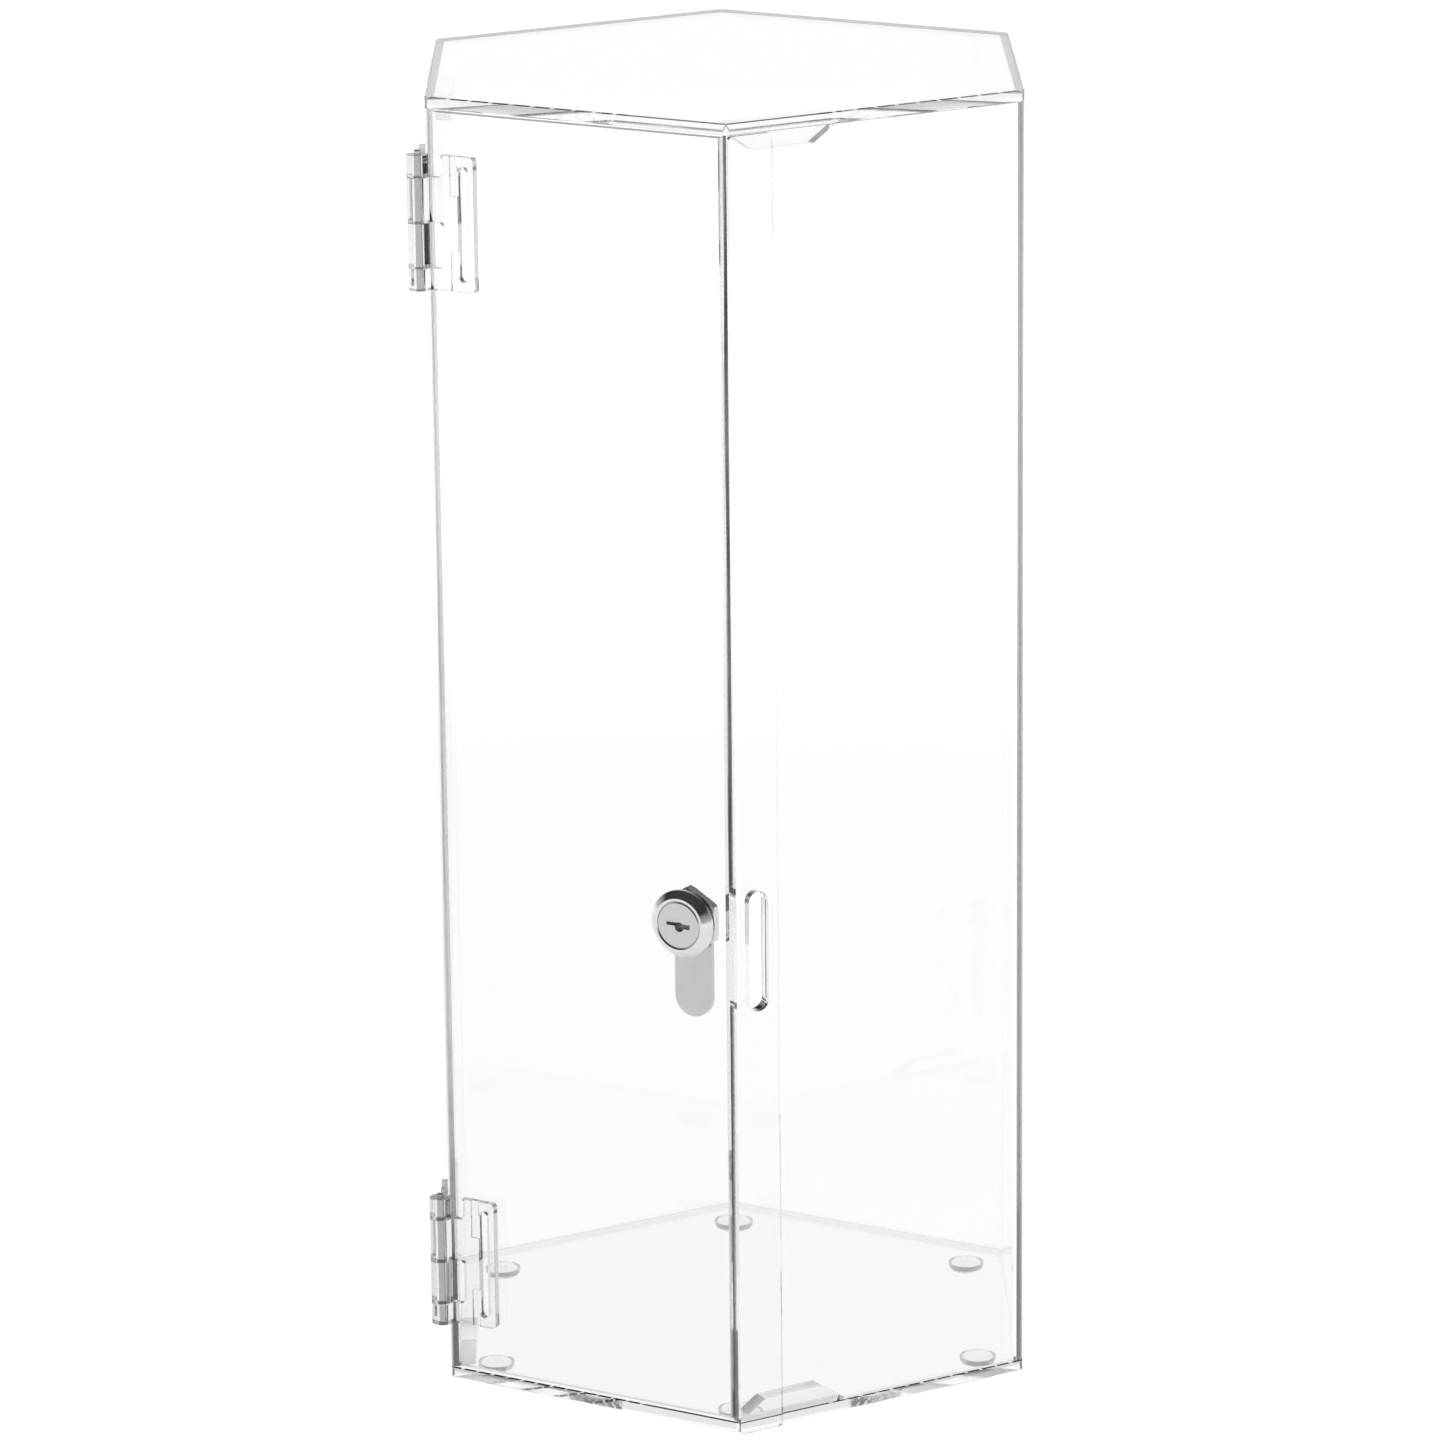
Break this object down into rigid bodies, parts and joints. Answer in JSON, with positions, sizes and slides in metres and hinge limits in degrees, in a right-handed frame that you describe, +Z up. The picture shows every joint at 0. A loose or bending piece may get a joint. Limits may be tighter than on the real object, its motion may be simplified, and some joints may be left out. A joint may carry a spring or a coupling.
{
  "type": "hexagonal display tower",
  "caption": "Clear acrylic hexagonal countertop display tower with a hinged front door, surface hinges and a cam lock whose blade catches in a slotted wall.",
  "frame": {"origin": "middle of the tower's footprint, hinge barrels included, in the plane its feet stand on; the tower's axis stands 3.9 mm behind it", "axes": "+Z up along the tower's axis, the door faces -Y, its hinges are on the -X side and its lock on the +X side"},
  "size_m": [0.2304, 0.2078, 0.4572],
  "materials": {
    "clear_acrylic": "polished, transparent",
    "nickel_plate": "bright nickel plate",
    "plated_steel": "plated",
    "clear_bumper": "clear soft polyurethane"
  },
  "bodies": {
    "case": {"base_plate": "clear_acrylic", "top_plate": "clear_acrylic", "body_shell": "clear_acrylic", "lock_strip": "clear_acrylic", "block_bottom_lock": "clear_acrylic", "block_bottom_hinge": "clear_acrylic", "block_top_lock": "clear_acrylic", "block_top_hinge": "clear_acrylic", "hinge_bottom_wall_leaf": "clear_acrylic", "hinge_top_wall_leaf": "clear_acrylic", "hinge_bottom_pin": "plated_steel", "hinge_top_pin": "plated_steel", "foot_1": "clear_bumper", "foot_2": "clear_bumper", "foot_3": "clear_bumper", "foot_4": "clear_bumper", "foot_5": "clear_bumper", "foot_6": "clear_bumper"},
    "door": {"door_panel": "clear_acrylic", "hinge_bottom_door_leaf": "clear_acrylic", "hinge_top_door_leaf": "clear_acrylic", "lock_housing": "nickel_plate", "lock_washer": "nickel_plate", "lock_nut": "nickel_plate"},
    "lock": {"lock_plug": "nickel_plate", "lock_cam": "plated_steel", "cam_washer": "plated_steel", "cam_screw": "plated_steel"}
  },
  "joints": [
    {"name": "door_swing", "type": "hinge", "parent": "case", "child": "door", "pos_m": [-0.0584, -0.10019, 0.2], "axis": [0, 0, -1], "range_deg": [0, 180]},
    {"name": "lock_turn", "type": "hinge", "parent": "door", "child": "lock", "pos_m": [0.03825, -0.09609, 0.1832], "axis": [0, -1, 0], "range_deg": [0, 86]}
  ]
}
